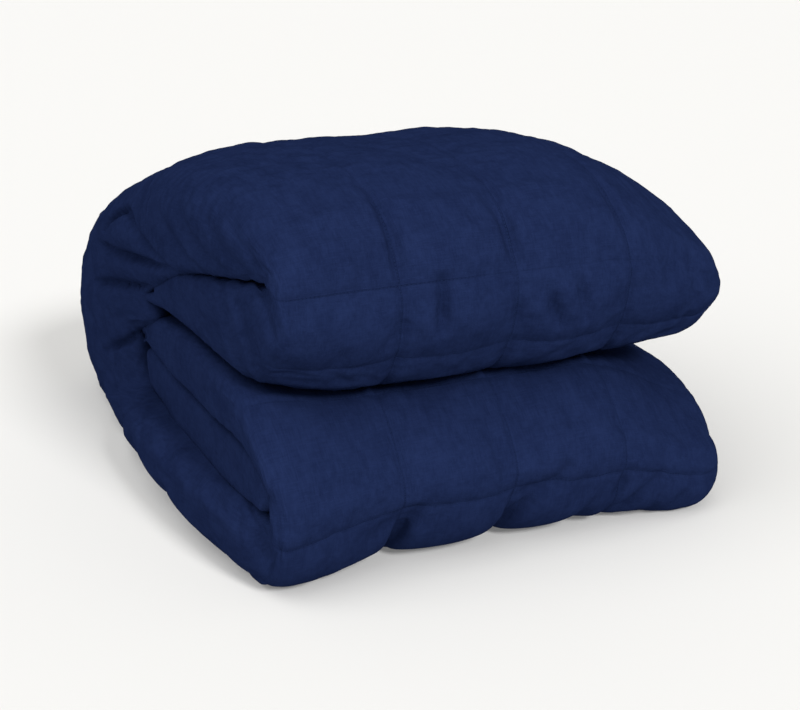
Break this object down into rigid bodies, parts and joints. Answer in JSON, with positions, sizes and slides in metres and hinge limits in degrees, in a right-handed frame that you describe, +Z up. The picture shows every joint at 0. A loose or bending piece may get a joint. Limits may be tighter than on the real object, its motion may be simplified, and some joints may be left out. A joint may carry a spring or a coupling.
{
  "type": "folded weighted blanket",
  "caption": "Quilted weighted blanket, folded in thirds, ends tucked in and then folded in half like a book, lying flat as a thick stack with rolled folds at the front.",
  "frame": {"origin": "middle of the footprint, on the surface that the blanket lies on", "axes": "+X runs along the front folds to the right, +Y runs back from the front folds to the spine, +Z is up"},
  "size_m": [0.4308, 0.5757, 0.2934],
  "materials": {
    "navy_cloth": "matte navy cotton, fine plain weave with faint slubs, quilted with seams in the same colour"
  },
  "bodies": {
    "root": {"blanket": "navy_cloth"}
  },
  "joints": []
}
